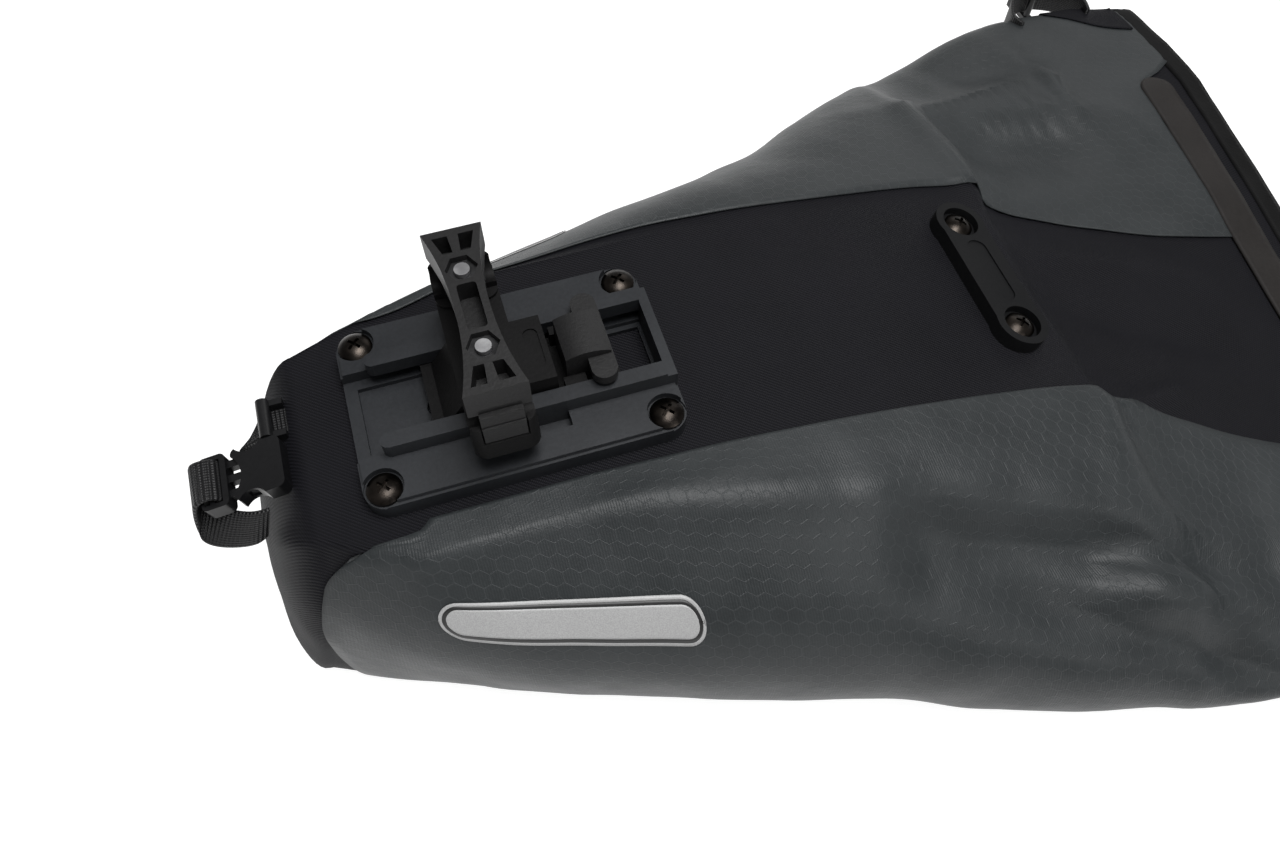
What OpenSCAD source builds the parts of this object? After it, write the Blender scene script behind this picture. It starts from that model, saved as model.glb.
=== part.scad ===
// Roll-top saddle bag with a slide-in rail adapter.
// Origin: on the resting plane, below the middle of the mounting plate.
// +X runs from the nose to the mouth, +Y is the right side, +Z is up.

/* [Bag] */
// Height of the flat top panel above the resting plane
bag_h = 81; // [78:1:88]
// Half width of the black top panel
top_half = 42; // [40:1:46]
// Wall thickness of the coated fabric panels
wall = 1.5; // [1.2:0.1:1.8]
// Radius that the nose is rounded with, seen from above
nose_r = 14; // [12:1:16]
// How far the nose leans forward per millimetre of depth
nose_rake = 0.24; // [0.1:0.01:0.26]
// Place of the roll closure's first fold
fold_x = 248; // [244:1:250]
// Width of the hem binding round the mouth
hem_w = 8; // [6:1:10]

/* [Mounting plate] */
// Length of the plate
plate_l = 87; // [86:1:90]
// Width of the plate
plate_w = 57; // [56:1:60]
// Spacing of the plate screws along the bag
screw_dx = 76; // [74:1:77]
// Spacing of the plate screws across the bag
screw_dy = 46; // [44:1:47]
// Half width of the open channel between the rails
channel_half = 10.7; // [10.6:0.1:11]

/* [Rail clamp] */
// Distance between the saddle rails
rail_gauge = 44; // [43:0.5:44.5]
// Diameter of a saddle rail
rail_d = 7; // [7:0.1:7.2]
// Distance between the two clamp bolts
bolt_pitch = 24; // [23:0.5:24]
// Nominal diameter of the clamp bolts
bolt_d = 4; // [4:0.1:4.2]

/* [Nose strap] */
// Width of the strap webbing
strap_w = 12.5; // [12:0.5:13]
// Downward slope of the buckle in degrees
buckle_slope = 8; // [6:1:12]

/* [Hidden] */
$fn = 48;
eps = 0.01;

// ---- Bag outline ----
// One row per station behind the nose:
// [place along the bag, widest half width, level of the widest point, top, bottom]
stations = [
    [-57, 44, 42, bag_h, 0], [-47, 50, 41, bag_h, 0], [-30, 57.5, 40, bag_h, 0],
    [-10, 65, 38, bag_h, 0], [15, 73, 36, bag_h, 0], [45, 82, 34, bag_h, 0],
    [75, 92, 30, bag_h - 2, 0], [105, 103, 26, bag_h - 6, 0], [135, 115, 24, bag_h - 12, 0],
    [166, 127, 22, bag_h - 19.4, 0], [178, 130, 22, bag_h - 29, 3],
    [195, 134, 23, bag_h - 34, 8], [220, 140, 26, bag_h - 38, 16],
    [fold_x - 0.5, 146.5, 29, bag_h - 41, 22], [fold_x + 0.5, 146.5, 29, bag_h - 41, 22],
    [275, 148, 30, bag_h - 43, 23.5], [297, 145, 30, bag_h - 45, 24],
    [297.2, 145, 30, bag_h - 45, 24], [297.2 + hem_w, 142, 30, bag_h - 45.5, 24.5]];
nose_x = stations[0][0];
nose_mid = 38;
nose_rings = 6;
nose_blunt = 1;
nose_end = 0.93;
i_nose = nose_rings;
i_board = nose_rings + 1;
i_plate_end = nose_rings + 5;
i_ridge = nose_rings + 9;
i_fold = nose_rings + 13;
i_mouth = nose_rings + 16;
i_hem = nose_rings + 17;

// Round the section: 0 is the middle of the top, 1 the top seam, 1.5 the widest point,
// 2 the bottom seam and 3 the middle of the bottom. The sign gives the side.
top_steps = [for (k = [-4:4]) k / 4];
side_right = [for (k = [8:16]) k / 8];
side_left = [for (k = [-16:-8]) k / 8];
bottom_steps = concat([for (k = [4:6]) k / 2], [for (k = [-5:-4]) k / 2]);
whole_ring = concat([for (k = [-4:3]) k / 4], [for (k = [8:15]) k / 8],
                    [for (k = [4:6]) k / 2], [-2.5], [for (k = [-16:-9]) k / 8]);
upper_half = concat([for (k = [-12:-9]) k / 8], top_steps, [for (k = [9:12]) k / 8]);
lower_half = concat([for (k = [12:16]) k / 8], [2.5, 3, -2.5], [for (k = [-16:-12]) k / 8]);

function bezier(a, b, c, d, t) =
    a * pow(1 - t, 3) + 3 * b * t * pow(1 - t, 2) + 3 * c * t * t * (1 - t) + d * pow(t, 3);

// Point of the section [x, w, level, top, bottom] at s, moved inward by d
function section_point(st, s, d) =
    let (w = st[1] - d, a = min(top_half, 0.72 * st[1]) - d / 3, top = st[3] - d, low = st[4] + d,
         b = 0.74 * st[1] - d / 3, mid = st[2], q = abs(s))
    q <= 1 ? [a * q, top]
    : q <= 1.5 ? bezier([a, top], [a + 0.5 * (w - a), top - 0.05 * (top - mid)],
                        [w, mid + 0.55 * (top - mid)], [w, mid], 2 * q - 2)
    : q <= 2 ? bezier([w, mid], [w, mid - 0.6 * (mid - low)], [b + 0.5 * (w - b), low],
                      [b, low], 2 * q - 3)
    : [b * (3 - q), low];

// Point of the bag's skin on ring i at s, moved inward by d
function skin(i, s, d) =
    let (u = nose_end * (1 - i / nose_rings), nose = i < nose_rings,
         st = nose ? stations[0] : stations[i - nose_rings],
         p = section_point(st, s, nose ? 0 : d),
         f = nose ? pow(cos(90 * u), nose_blunt) * (1 - d / 42) : 1,
         x = nose ? nose_x - (nose_r - d) * sin(90 * u) : st[0],
         z = nose ? nose_mid + (p[1] - nose_mid) * f : p[1],
         lean = nose_rake * max(0, min(1, (-30 - x) / 28)))
    [x - lean * (bag_h - z), sign(s) * p[0] * f, z];

// Closed patch of skin over the rings, with the given steps, between two depths
module skin_patch(rings, steps, d_out, d_in) {
    n = len(steps);
    m = len(rings);
    points = concat([for (i = rings) for (s = steps) skin(i, s, d_out)],
                    [for (i = rings) for (s = steps) skin(i, s, d_in)]);
    o = function (i, j) i * n + j;
    v = function (i, j) m * n + i * n + j;
    quad = function (a, b, c, d) [[a, b, c], [a, c, d]];
    grid = [for (i = [0:m - 2]) for (j = [0:n - 2])
        each concat(quad(o(i, j), o(i, j + 1), o(i + 1, j + 1), o(i + 1, j)),
                    quad(v(i, j), v(i + 1, j), v(i + 1, j + 1), v(i, j + 1)))];
    ends = [for (j = [0:n - 2])
        each concat(quad(o(0, j), v(0, j), v(0, j + 1), o(0, j + 1)),
                    quad(o(m - 1, j), o(m - 1, j + 1), v(m - 1, j + 1), v(m - 1, j)))];
    sides = [for (i = [0:m - 2])
        each concat(quad(o(i, 0), o(i + 1, 0), v(i + 1, 0), v(i, 0)),
                    quad(o(i, n - 1), v(i, n - 1), v(i + 1, n - 1), o(i + 1, n - 1)))];
    polyhedron(points, concat(grid, ends, sides), convexity = 6);
}

// Sleeve all the way round the section; closed at its front when capped is true
module skin_sleeve(rings, d_out, d_in, capped) {
    n = len(whole_ring);
    m = len(rings);
    middle = function (d) (skin(rings[0], 0, d) + skin(rings[0], 3, d)) / 2;
    points = concat([for (i = rings) for (s = whole_ring) skin(i, s, d_out)],
                    [for (i = rings) for (s = whole_ring) skin(i, s, d_in)],
                    capped ? [middle(d_out), middle(d_in)] : []);
    o = function (i, j) i * n + j % n;
    v = function (i, j) m * n + i * n + j % n;
    quad = function (a, b, c, d) [[a, b, c], [a, c, d]];
    grid = [for (i = [0:m - 2]) for (j = [0:n - 1])
        each concat(quad(o(i, j), o(i, j + 1), o(i + 1, j + 1), o(i + 1, j)),
                    quad(v(i, j), v(i + 1, j), v(i + 1, j + 1), v(i, j + 1)))];
    back = [for (j = [0:n - 1])
        each quad(o(m - 1, j), o(m - 1, j + 1), v(m - 1, j + 1), v(m - 1, j))];
    front = capped
        ? [for (j = [0:n - 1])
            each [[2 * m * n, o(0, j + 1), o(0, j)], [2 * m * n + 1, v(0, j), v(0, j + 1)]]]
        : [for (j = [0:n - 1]) each quad(o(0, j), v(0, j), v(0, j + 1), o(0, j + 1))];
    polyhedron(points, concat(grid, back, front), convexity = 6);
}

function rings(a, b) = [for (i = [a:b]) i];

// ---- Levels and places of the hardware ----
plate_h = 7;
plate_top = bag_h + plate_h;
floor_z = bag_h + 1.5;
rail_top = plate_top + 5;
rail_out = 15.2;
slot_half = 13.6;
slot_low = bag_h + 3;
slot_top = bag_h + 7.3;
screw_r = 2;
adapter_x = -4.8;
jaw_w = 17;
jaw_out = rail_gauge / 2 + 5.6;
rail_z = plate_top + 19;
arm_low = rail_top + 1.2;
bone_top = plate_top + 34;
bone_low = plate_top + 25;
latch_x = 17;
latch_z = plate_top + 0.8;
// The anchor bar lies on the sloping panel between the stations at 135 and 166
anchor_x = 153.4;
anchor_y = 6;
anchor_slope = atan(7.4 / 31);
anchor_z = bag_h - 12 - (anchor_x - 135) * tan(anchor_slope);
anchor_dy = 41.6;

module rounded_rect(l, w, r) {
    union() {
        square([l - 2 * r, w], center = true);
        square([l, w - 2 * r], center = true);
        for (sx = [-1, 1]) for (sy = [-1, 1])
            translate([sx * (l / 2 - r), sy * (w / 2 - r)]) circle(r);
    }
}

module at_plate_screws() {
    for (sx = [-1, 1]) for (sy = [-1, 1])
        translate([sx * screw_dx / 2, sy * screw_dy / 2, 0]) children();
}

module on_anchor() {
    translate([anchor_x, anchor_y, anchor_z]) rotate([0, anchor_slope, 0]) children();
}

// Domed screw with a cross recess; z = 0 is the underside of its head
module domed_screw(shank) {
    difference() {
        union() {
            rotate_extrude()
                intersection() {
                    translate([0, -4.2]) circle(7);
                    square([4.7, 4]);
                }
            translate([0, 0, -shank]) cylinder(r = screw_r, h = shank + eps);
        }
        for (a = [45, 135])
            rotate([0, 0, a]) translate([0, 0, 2.6]) cube([4.2, 0.9, 2.4], center = true);
    }
}

module hex_nut(af, h, bore) {
    difference() {
        cylinder(d = af / cos(30), h = h, $fn = 6);
        translate([0, 0, -1]) cylinder(r = bore, h = h + 2);
    }
}

// ---- Bag shell ----
module panel_holes() {
    at_plate_screws() translate([0, 0, bag_h - 12]) cylinder(r = screw_r + 0.3, h = 20);
    on_anchor() for (s = [-1, 1])
        translate([0, s * anchor_dy / 2, -12]) cylinder(r = screw_r + 0.3, h = 20);
}

module nose_panel() { color("#15151a") skin_sleeve(rings(0, i_nose), 0, wall, true); }

module top_panel() {
    color("#15151a") difference() {
        skin_patch(rings(i_nose, i_fold), top_steps, 0, wall);
        panel_holes();
    }
}

module side_panel_left() { color("#45494d") skin_patch(rings(i_nose, i_fold), side_left, 0, wall); }
module side_panel_right() { color("#45494d") skin_patch(rings(i_nose, i_fold), side_right, 0, wall); }
module bottom_panel() { color("#15151a") skin_patch(rings(i_nose, i_fold), bottom_steps, 0, wall); }

// Stiffening board under the top panel; it ends at the ridge behind the anchor bar
module top_board() {
    color("#202022") difference() {
        skin_patch(rings(i_board, i_ridge), [for (k = [-4:4]) k * 0.21], wall + 0.1, wall + 2.1);
        panel_holes();
    }
}

module closure_upper() {
    color("#45494d") skin_patch(rings(i_fold + 1, i_mouth), upper_half, 0, wall);
}

module closure_lower() {
    color("#45494d") skin_patch(rings(i_fold + 1, i_mouth), lower_half, 0, wall);
}

module mouth_hem() { color("#1a1a1a") skin_sleeve(rings(i_hem, i_hem + 1), -0.5, 1.8, false); }

module stiffener_strip() {
    strip_slope = atan(2 / 22);
    color("#2b2725") translate([288.5, 0, bag_h - 44.2 + 0.75]) rotate([0, strip_slope, 0])
        linear_extrude(1.4) rounded_rect(12, 194, 4);
}

// Reinforced corner of the mouth, doubled on both faces
module corner_patch(side) {
    color("#17171a")
        skin_patch(rings(i_fold + 1, i_mouth), side > 0 ? [for (k = [11:14]) k / 8]
                   : [for (k = [-14:-11]) k / 8], -0.9, -0.1);
}
module corner_patch_left() { corner_patch(-1); }
module corner_patch_right() { corner_patch(1); }

// Webbing loop standing out from the corner patch
loop_x = 268;
loop_y = 147.5;
loop_r = 17;
loop_low = 23;
module on_side(side) { mirror([0, side > 0 ? 0 : 1, 0]) children(); }
module corner_loop(side) {
    color("#101012") on_side(side) translate([loop_x, loop_y, loop_low])
        linear_extrude(strap_w) difference() {
            circle(loop_r);
            circle(loop_r - 1.6);
            translate([-40, -80]) square([80, 78.5]);
        }
}
module corner_loop_left() { corner_loop(-1); }
module corner_loop_right() { corner_loop(1); }

// The closure's buckle halves swing on the loops; their bars lie inside the webbing
bar_y = loop_y + loop_r - 3.4;
module on_corner_bar(side) {
    on_side(side) translate([loop_x, bar_y, loop_low + strap_w / 2]) children();
}

module corner_hanger() {
    cylinder(r = 1.4, h = 14, center = true);
    for (s = [-1, 1]) translate([-1.8, -1.6, s * 7.9 - 1.1]) cube([3.6, 8.2, 2.2]);
}

module closure_buckle_female() {
    color("#111111") on_corner_bar(-1) {
        corner_hanger();
        difference() {
            translate([-3.6, 6.5, -9]) cube([7.2, 16, 18]);
            translate([-2.2, 8.5, -7.2]) cube([4.4, 20, 14.4]);
            for (s = [-1, 1])
                translate([0, 15, s * 10]) rotate([0, 90, 0]) cylinder(r = 4.5, h = 20, center = true);
        }
    }
}

module closure_buckle_male() {
    color("#111111") on_corner_bar(1) {
        corner_hanger();
        translate([-3, 6.5, -9]) cube([6, 5, 18]);
        for (s = [-1, 1]) translate([-1.8, 11.4, s * 5.6 - 1.3]) cube([3.6, 10, 2.6]);
        translate([-1.8, 11.4, -1.2]) cube([3.6, 8, 2.4]);
    }
}

// Generic blank badge on each side
module side_badges() {
    color("#c8c8c8") {
        skin_patch(rings(i_nose + 2, i_plate_end), [for (k = [-12.5:0.5:-11.5]) k / 8], -0.5, -0.1);
        skin_patch(rings(i_nose + 2, i_plate_end), [for (k = [11.5:0.5:12.5]) k / 8], -0.5, -0.1);
    }
}

// ---- Mounting plate ----
module mount_plate() {
    rear_in = plate_l / 2 - 2.8;
    color("#26272a") difference() {
        union() {
            translate([0, 0, bag_h]) linear_extrude(plate_h - 1.5) rounded_rect(plate_l, plate_w, 6.5);
            translate([0, 0, bag_h + plate_h - 1.5])
                linear_extrude(1.5) rounded_rect(plate_l - 1.6, plate_w - 1.6, 5.7);
            for (s = [-1, 1]) {
                rail_y = s * (channel_half + rail_out) / 2;
                rail_wide = rail_out - channel_half;
                translate([-36 + rail_wide / 2, rail_y, bag_h])
                    cylinder(d = rail_wide, h = rail_top - bag_h);
                translate([-36 + rail_wide / 2, rail_y - rail_wide / 2, bag_h])
                    cube([36 - rail_wide / 2 + rear_in, rail_wide, rail_top - bag_h]);
            }
            translate([rear_in - eps, -rail_out, bag_h])
                cube([2.8, 2 * rail_out, rail_top - bag_h - 1]);
        }
        // Channel, open at the nose above a low guide lip
        translate([-plate_l / 2 + 3.5, -channel_half, floor_z])
            cube([plate_l - 6.3, 2 * channel_half, 20]);
        translate([-plate_l / 2 - 1, -slot_half, slot_low]) cube([6, 2 * slot_half, 20]);
        // Undercut that takes the adapter's foot
        translate([-plate_l / 2 + 3.5, -slot_half, slot_low])
            cube([plate_l - 6.3, 2 * slot_half, slot_top - slot_low]);
        // Opening in the floor under the latch, and the round hole
        translate([16, -channel_half + 1.5, bag_h - 1])
            cube([rear_in - 17, 2 * channel_half - 3, 5]);
        translate([-20, 0, bag_h - 1]) cylinder(r = 3, h = 5);
        // Notch in the left beam
        translate([4, -rail_out - 4.6, bag_h + 3]) cube([9, 4.6, 8]);
        at_plate_screws() {
            translate([0, 0, bag_h - 1]) cylinder(r = screw_r + 0.1, h = 20);
            translate([0, 0, plate_top - 2.2]) cylinder(r = 5.4, h = 8);
        }
    }
}

module plate_screws() {
    color("#3a302b") at_plate_screws() translate([0, 0, plate_top - 2.2]) domed_screw(14.5);
}

module plate_nuts() {
    color("#9a9a9a") at_plate_screws()
        translate([0, 0, bag_h - wall - 5.6]) hex_nut(7, 3.2, screw_r + 0.05);
}

module anchor_bar() {
    color("#222224") on_anchor() difference() {
        translate([0, 0, 0.05]) linear_extrude(5) union() {
            square([16, anchor_dy], center = true);
            for (s = [-1, 1]) translate([0, s * anchor_dy / 2]) circle(8.5);
        }
        for (s = [-1, 1]) translate([0, s * anchor_dy / 2, 0]) {
            translate([0, 0, 2.4]) cylinder(r = 6, h = 5);
            translate([0, 0, -1]) cylinder(r = screw_r + 0.1, h = 8);
        }
        translate([0, 0, 4.6]) linear_extrude(2) rounded_rect(7, 25, 3.4);
    }
}

module anchor_screws() {
    color("#3a302b") on_anchor() for (s = [-1, 1])
        translate([0, s * anchor_dy / 2, 2.4]) domed_screw(10.5);
}

module anchor_nuts() {
    color("#9a9a9a") on_anchor() for (s = [-1, 1])
        translate([0, s * anchor_dy / 2, -wall - 5.6]) hex_nut(7, 3.2, screw_r + 0.05);
}

// ---- Rail adapter ----
module at_bolts() {
    for (s = [-1, 1]) translate([adapter_x, s * bolt_pitch / 2, 0]) children();
}

module along_rails(r, l) {
    for (s = [-1, 1])
        translate([adapter_x, s * rail_gauge / 2, rail_z])
            rotate([0, 90, 0]) cylinder(r = r, h = l, center = true);
}

// Side view of the hump: a sloping nose flank, a flat top and a steep rear
module adapter_body() {
    foot_z = slot_low + 0.4;
    hump_top = plate_top + 10;
    color("#1d1d1f") difference() {
        union() {
            translate([-22, -slot_half + 0.4, foot_z])
                cube([34, 2 * slot_half - 0.8, slot_top - 0.4 - foot_z]);
            translate([0, channel_half - 0.4, 0]) rotate([90, 0, 0])
                linear_extrude(2 * channel_half - 0.8)
                    polygon([[-20, foot_z], [12.4, foot_z], [12, hump_top], [-12, hump_top],
                             [-19, plate_top]]);
            // Tongue that carries the latch
            translate([12 - eps, -channel_half + 0.4, foot_z])
                cube([18, 2 * channel_half - 0.8, 2]);
            for (s = [-1, 1]) translate([latch_x - 3, s * 8.6 - 1.4, foot_z])
                cube([6, 2.8, latch_z + 3 - foot_z]);
            // Arms that bridge the plate's rails and end in the lower jaws
            translate([adapter_x - jaw_w / 2, -jaw_out + 3, arm_low])
                cube([jaw_w, 2 * jaw_out - 6, 6.8]);
            for (s = [-1, 1]) translate([adapter_x, s * (jaw_out - 5.4), arm_low + 1.6])
                linear_extrude(rail_z + 0.4 - arm_low) rounded_rect(jaw_w, 10.8, 3.5);
        }
        along_rails(rail_d / 2, 40);
        // The upper jaws drop between the raised corners of the lower ones
        for (s = [-1, 1]) {
            translate([adapter_x - 5.8, s * (jaw_out + 0.6) - 3.2, rail_z - 4.6]) cube([11.6, 6.4, 12]);
            translate([adapter_x - 15, s * (jaw_out - 13.4) - 5.9, rail_z - 5]) cube([30, 11.8, 12]);
            translate([adapter_x - 15, s * rail_gauge / 2 - rail_d / 2, rail_z])
                cube([30, rail_d, 8]);
        }
        at_bolts() {
            translate([0, 0, arm_low - 1]) cylinder(r = bolt_d / 2 + 0.05, h = 20);
            translate([0, 0, arm_low - 1]) cylinder(r = 4.2, h = 5.2);
        }
        translate([latch_x, 0, latch_z]) rotate([90, 0, 0]) cylinder(r = 1.5, h = 30, center = true);
        // Blank sunk panel on the hump
        translate([8.4, 0, hump_top - 0.5]) linear_extrude(2) rounded_rect(4, 13, 1.9);
    }
}

// Lever with a curved back and two ears that lie over the plate's rails
module release_latch() {
    ear_z = rail_top + 1.4;
    crown_z = plate_top + 12;
    color("#1b1b1d") difference() {
        union() {
            translate([0, 6.9, 0]) rotate([90, 0, 0]) linear_extrude(13.8) intersection() {
                translate([15, latch_z - 2]) square([12.6, 20]);
                union() {
                    translate([latch_x, latch_z]) circle(2);
                    translate([21.3, crown_z - 14]) circle(14);
                }
                polygon([[15.2, latch_z], [latch_x - 1, latch_z - 1.6], [latch_x + 2, latch_z - 1.6],
                         [28, latch_z + 3], [28, 120], [15.2, 120]]);
            }
            translate([24.6, 0, ear_z]) linear_extrude(3) rounded_rect(7, 28.4, 3.4);
        }
        translate([latch_x, 0, latch_z]) rotate([90, 0, 0])
            cylinder(r = 1.55, h = 30, center = true);
        // Seat of the return spring
        translate([22.4, 0, latch_z - 4]) cylinder(r = 2.6, h = 6.4);
    }
}

module latch_pin() {
    color("#a8a8a8") translate([latch_x, 0, latch_z]) rotate([90, 0, 0])
        cylinder(r = 1.5, h = 20, center = true);
}

// Return spring between the tongue and the lever, drawn as its outer sleeve
spring_low = slot_low + 2.5;
module latch_spring() {
    color("#b0b0b0") translate([22.4, 0, spring_low]) difference() {
        cylinder(r = 2.2, h = latch_z + 2.3 - spring_low);
        translate([0, 0, -1]) cylinder(r = 1.5, h = 20);
    }
}

// Half width of the bone at a distance y from its middle
function bone_half(y) = 4.3 + 3.5 * pow(abs(y) / 25, 2.2);
bone_end = 25.2;
module bone_outline() {
    steps = 12;
    up = [for (k = [0:2 * steps]) let (y = bone_end * (k / steps - 1)) [bone_half(y), y]];
    down = [for (k = [0:2 * steps]) let (y = bone_end * (1 - k / steps)) [-bone_half(y), y]];
    polygon(concat(up, down));
}

module clamp_bone() {
    pocket = 6;
    color("#202022") difference() {
        union() {
            translate([adapter_x, 0, bone_low]) linear_extrude(bone_top - bone_low) bone_outline();
            // Upper jaws with a lip outside the rail
            for (s = [-1, 1]) {
                translate([adapter_x - 5.4, s * (jaw_out - 6) - 5, rail_z + 0.4])
                    cube([10.8, 10, bone_low - rail_z]);
                translate([adapter_x - 5.4, s * (jaw_out - 1.2) - 0.8, rail_z - 4.2])
                    cube([10.8, 1.6, 6]);
            }
        }
        along_rails(rail_d / 2, 40);
        at_bolts() {
            translate([0, 0, rail_z]) cylinder(r = bolt_d / 2 + 0.2, h = 20);
            translate([0, 0, bone_top - 5]) cylinder(d = 7.3 / cos(30), h = 6, $fn = 6);
        }
        // Windows beside each bolt and the long one between them
        for (s = [-1, 1]) for (t = [-1, 1])
            translate([adapter_x, 0, bone_top - pocket]) linear_extrude(pocket + 1)
                polygon([[t * 1, s * 17.4], [t * 3.6, s * 17.4], [t * 5.4, s * 23], [t * 1.4, s * 23]]);
        translate([adapter_x, 0, bone_top - pocket]) linear_extrude(pocket + 1)
            rounded_rect(5, 14, 1);
    }
}

module clamp_bolt(side) {
    head = 3.8;
    color("#c9c9cb") translate([adapter_x, side * bolt_pitch / 2, arm_low + 0.2]) difference() {
        union() {
            cylinder(r = 3.5, h = head);
            cylinder(r = bolt_d / 2, h = bone_top - 0.4 - arm_low - 0.2);
        }
        translate([0, 0, -1]) cylinder(d = 3 / cos(30), h = 3.2, $fn = 6);
    }
}
module clamp_bolt_left() { clamp_bolt(-1); }
module clamp_bolt_right() { clamp_bolt(1); }

module clamp_nuts() {
    color("#8f8f92") at_bolts()
        translate([0, 0, bone_top - 5]) hex_nut(7.2, 3.2, bolt_d / 2 + 0.05);
}

// ---- Nose strap ----
// Smooth curve through the points p, n steps to a span
function catmull(a, b, c, d, t) =
    0.5 * (2 * b + (c - a) * t + (2 * a - 5 * b + 4 * c - d) * t * t
           + (3 * b - a - 3 * c + d) * t * t * t);
function smooth(p, n) =
    let (m = len(p) - 1)
    concat([for (i = [0:m - 1]) for (k = [0:n - 1])
                catmull(p[max(i - 1, 0)], p[i], p[i + 1], p[min(i + 2, m)], k / n)], [p[m]]);

// Webbing of the given width, seen from the side as a band along the path
module webbing(path, thick, wide) {
    p = smooth(path, 4);
    m = len(p) - 1;
    along = [for (i = [0:m]) let (v = p[min(i + 1, m)] - p[max(i - 1, 0)]) v / norm(v)];
    one = [for (i = [0:m]) p[i] + [-along[i][1], along[i][0]] * thick / 2];
    two = [for (i = [m:-1:0]) p[i] - [-along[i][1], along[i][0]] * thick / 2];
    translate([0, wide / 2, 0]) rotate([90, 0, 0]) linear_extrude(wide) polygon(concat(one, two));
}

// Twisted webbing: each row gives a point of its middle line and the direction of its width
module ribbon(rows, thick, wide) {
    p = smooth([for (r = rows) r[0]], 3);
    w = smooth([for (r = rows) r[1]], 3);
    m = len(p) - 1;
    points = [for (i = [0:m])
        let (h = w[i] / norm(w[i]) * wide / 2,
             v = cross(h, p[min(i + 1, m)] - p[max(i - 1, 0)]), n = v / norm(v) * thick / 2)
        each [p[i] - h - n, p[i] + h - n, p[i] + h + n, p[i] - h + n]];
    o = function (i, j) 4 * i + j % 4;
    faces = [for (i = [0:m - 1]) for (j = [0:3])
        each [[o(i, j), o(i, j + 1), o(i + 1, j + 1)], [o(i, j), o(i + 1, j + 1), o(i + 1, j)]]];
    polyhedron(points, concat(faces, [[2, 1, 0], [3, 2, 0]],
                              [[o(m, 0), o(m, 1), o(m, 2)], [o(m, 0), o(m, 2), o(m, 3)]]),
               convexity = 8);
}

// In the buckle's frame the strap runs along -X, away from the bag, and Y is across it
buckle_y = -4.2;
module on_buckle() {
    translate([-62.3, buckle_y, 81.1]) rotate([0, -buckle_slope, 0]) children();
}

keeper_y = 10.1;
module nose_keeper() {
    color("#0e0e10") translate([-66, keeper_y, 82]) {
        rotate([90, 0, 0]) cylinder(r = 1.8, h = 8.6, center = true);
        for (s = [-1, 1]) translate([0, s * 5.1, 0]) {
            rotate([90, 0, 0]) cylinder(r = 1.8, h = 1.8, center = true);
            translate([-1.8, -0.9, -8.5]) cube([7, 1.8, 8.5]);
        }
    }
}

// Webbing from the nose, under the keeper's bar and round to the side of the female half
module nose_tab() {
    color("#101012") translate([0, 0, 78.9]) linear_extrude(1.1)
        polygon([[-60, keeper_y + 4], [-60, keeper_y - 4], [-68.2, keeper_y - 4],
                 [-68.8, buckle_y + 5.9], [-73.4, buckle_y + 5.9], [-75, keeper_y - 2.6],
                 [-74, keeper_y + 1.8], [-71, keeper_y + 4]]);
}

module buckle_female() {
    color("#131315") on_buckle() difference() {
        translate([-6.8, 0, -2.5]) linear_extrude(5) rounded_rect(13.6, 16, 2);
        translate([-20, -6.2, -1.5]) cube([15.4, 12.4, 3]);
        translate([-19.2, 0, -10]) cylinder(r = 8, h = 20);
        for (s = [-1, 1]) translate([-9, s * 10.2, -10]) cylinder(r = 4.2, h = 20);
        translate([-3.4, -6, -10]) cube([1.8, 12, 10.2]);
    }
}

module buckle_male() {
    color("#131315") on_buckle() difference() {
        union() {
            translate([-18.9, 0, -2.4]) linear_extrude(4.8) rounded_rect(7.4, 16, 1.6);
            for (s = [-1, 1]) translate([-16, s * 4.5 - 1.1, -1.2]) cube([9.6, 2.2, 2.4]);
            translate([-16, -1.1, -1.2]) cube([8, 2.2, 2.4]);
        }
        for (x = [-21.8, -19.1]) translate([x, -strap_w / 2 - 0.3, -10])
            cube([x < -20 ? 1.5 : 2.3, strap_w + 0.6, 20]);
    }
}

// Loose end of the strap: over the male half's bar, then curled down and round beside the buckle
module nose_strap() {
    color("#101012")
        ribbon([[[-79.7, buckle_y, 75], [0, 1, 0]], [[-79.9, buckle_y, 78.6], [0, 1, 0]],
                [[-80.4, buckle_y, 81.2], [0, 1, 0]], [[-82.9, buckle_y, 82.5], [0, 1, 0]],
                [[-86.4, buckle_y, 80.9], [0, 1, 0.1]],
                [[-87.8, -5.4, 75.8], [0.15, 1, 0.35]], [[-87, -9, 72.2], [0.4, 0.75, 0.6]],
                [[-83, -12.6, 70.8], [0.5, 0.45, 0.75]], [[-78, -14.9, 71], [0.42, 0.33, 0.85]],
                [[-73.9, -15.8, 71.6], [0.36, 0.25, 0.9]],
                [[-71, -15.2, 72], [0.34, 0.1, 0.93]]], 1.4, strap_w);
}

nose_panel();
top_panel();
side_panel_left();
side_panel_right();
bottom_panel();
top_board();
closure_upper();
closure_lower();
mouth_hem();
stiffener_strip();
corner_patch_left();
corner_patch_right();
corner_loop_left();
corner_loop_right();
closure_buckle_male();
closure_buckle_female();
side_badges();
mount_plate();
plate_screws();
plate_nuts();
anchor_bar();
anchor_screws();
anchor_nuts();
adapter_body();
release_latch();
latch_pin();
latch_spring();
clamp_bone();
clamp_bolt_left();
clamp_bolt_right();
clamp_nuts();
nose_keeper();
nose_tab();
buckle_female();
buckle_male();
nose_strap();
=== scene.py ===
"""Saddle bag: visual model built round the CAD frame. Metres, in the CAD frame."""
import math

import bmesh
import bpy
import numpy as np
from mathutils import Matrix, Vector, noise


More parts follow.
